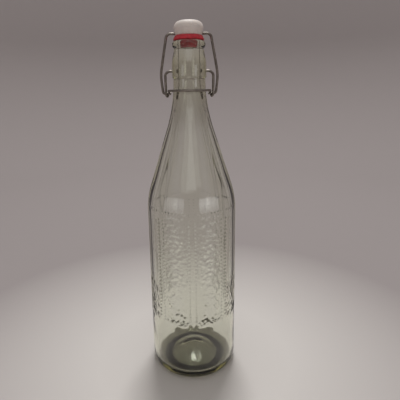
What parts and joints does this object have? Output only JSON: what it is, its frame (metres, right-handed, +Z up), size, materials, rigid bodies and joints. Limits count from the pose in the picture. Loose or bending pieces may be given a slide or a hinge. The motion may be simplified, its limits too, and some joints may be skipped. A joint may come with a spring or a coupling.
{
  "type": "swing top bottle",
  "caption": "Tall clear glass bottle with shallow facets, a long sloping shoulder and a narrow neck, closed by a domed stopper with a rubber ring on a wire bail that a lever pulls down.",
  "frame": {"origin": "centre of the base ring, on the surface that the bottle stands on", "axes": "+Z up along the bottle's axis; -Y is the front, the side that the lever's loop goes round; both wires hinge about lines along X"},
  "size_m": [0.085, 0.085, 0.3345],
  "materials": {
    "glass": "clear, pale grey-green, hammered on the panels",
    "wire": "drawn wire, dulled",
    "cap": "white, moulded",
    "gasket": "red, smooth"
  },
  "bodies": {
    "bottle": {"glass_bottle": "glass"},
    "lever": {"lever_wire": "wire"},
    "bail": {"bail_wire": "wire"},
    "stopper": {"stopper_head": "cap", "sealing_gasket": "gasket"}
  },
  "joints": [
    {"name": "lever_lift", "type": "hinge", "parent": "bottle", "child": "lever", "pos_m": [0, 0, 0.2924], "axis": [-1, 0, 0], "range_deg": [0, 90]},
    {"name": "bail_swing", "type": "hinge", "parent": "lever", "child": "bail", "pos_m": [0, 0.00242, 0.2729], "axis": [-1, 0, 0], "range_deg": [-58, 0]},
    {"name": "stopper_turn", "type": "hinge", "parent": "bail", "child": "stopper", "pos_m": [0, 0, 0.3241], "axis": [-1, 0, 0], "range_deg": [-33, 0]}
  ],
  "couplings": [
    {"joint": "bail_swing", "follows": "lever_lift", "ratio": -0.64},
    {"joint": "stopper_turn", "follows": "lever_lift", "ratio": -0.36}
  ]
}
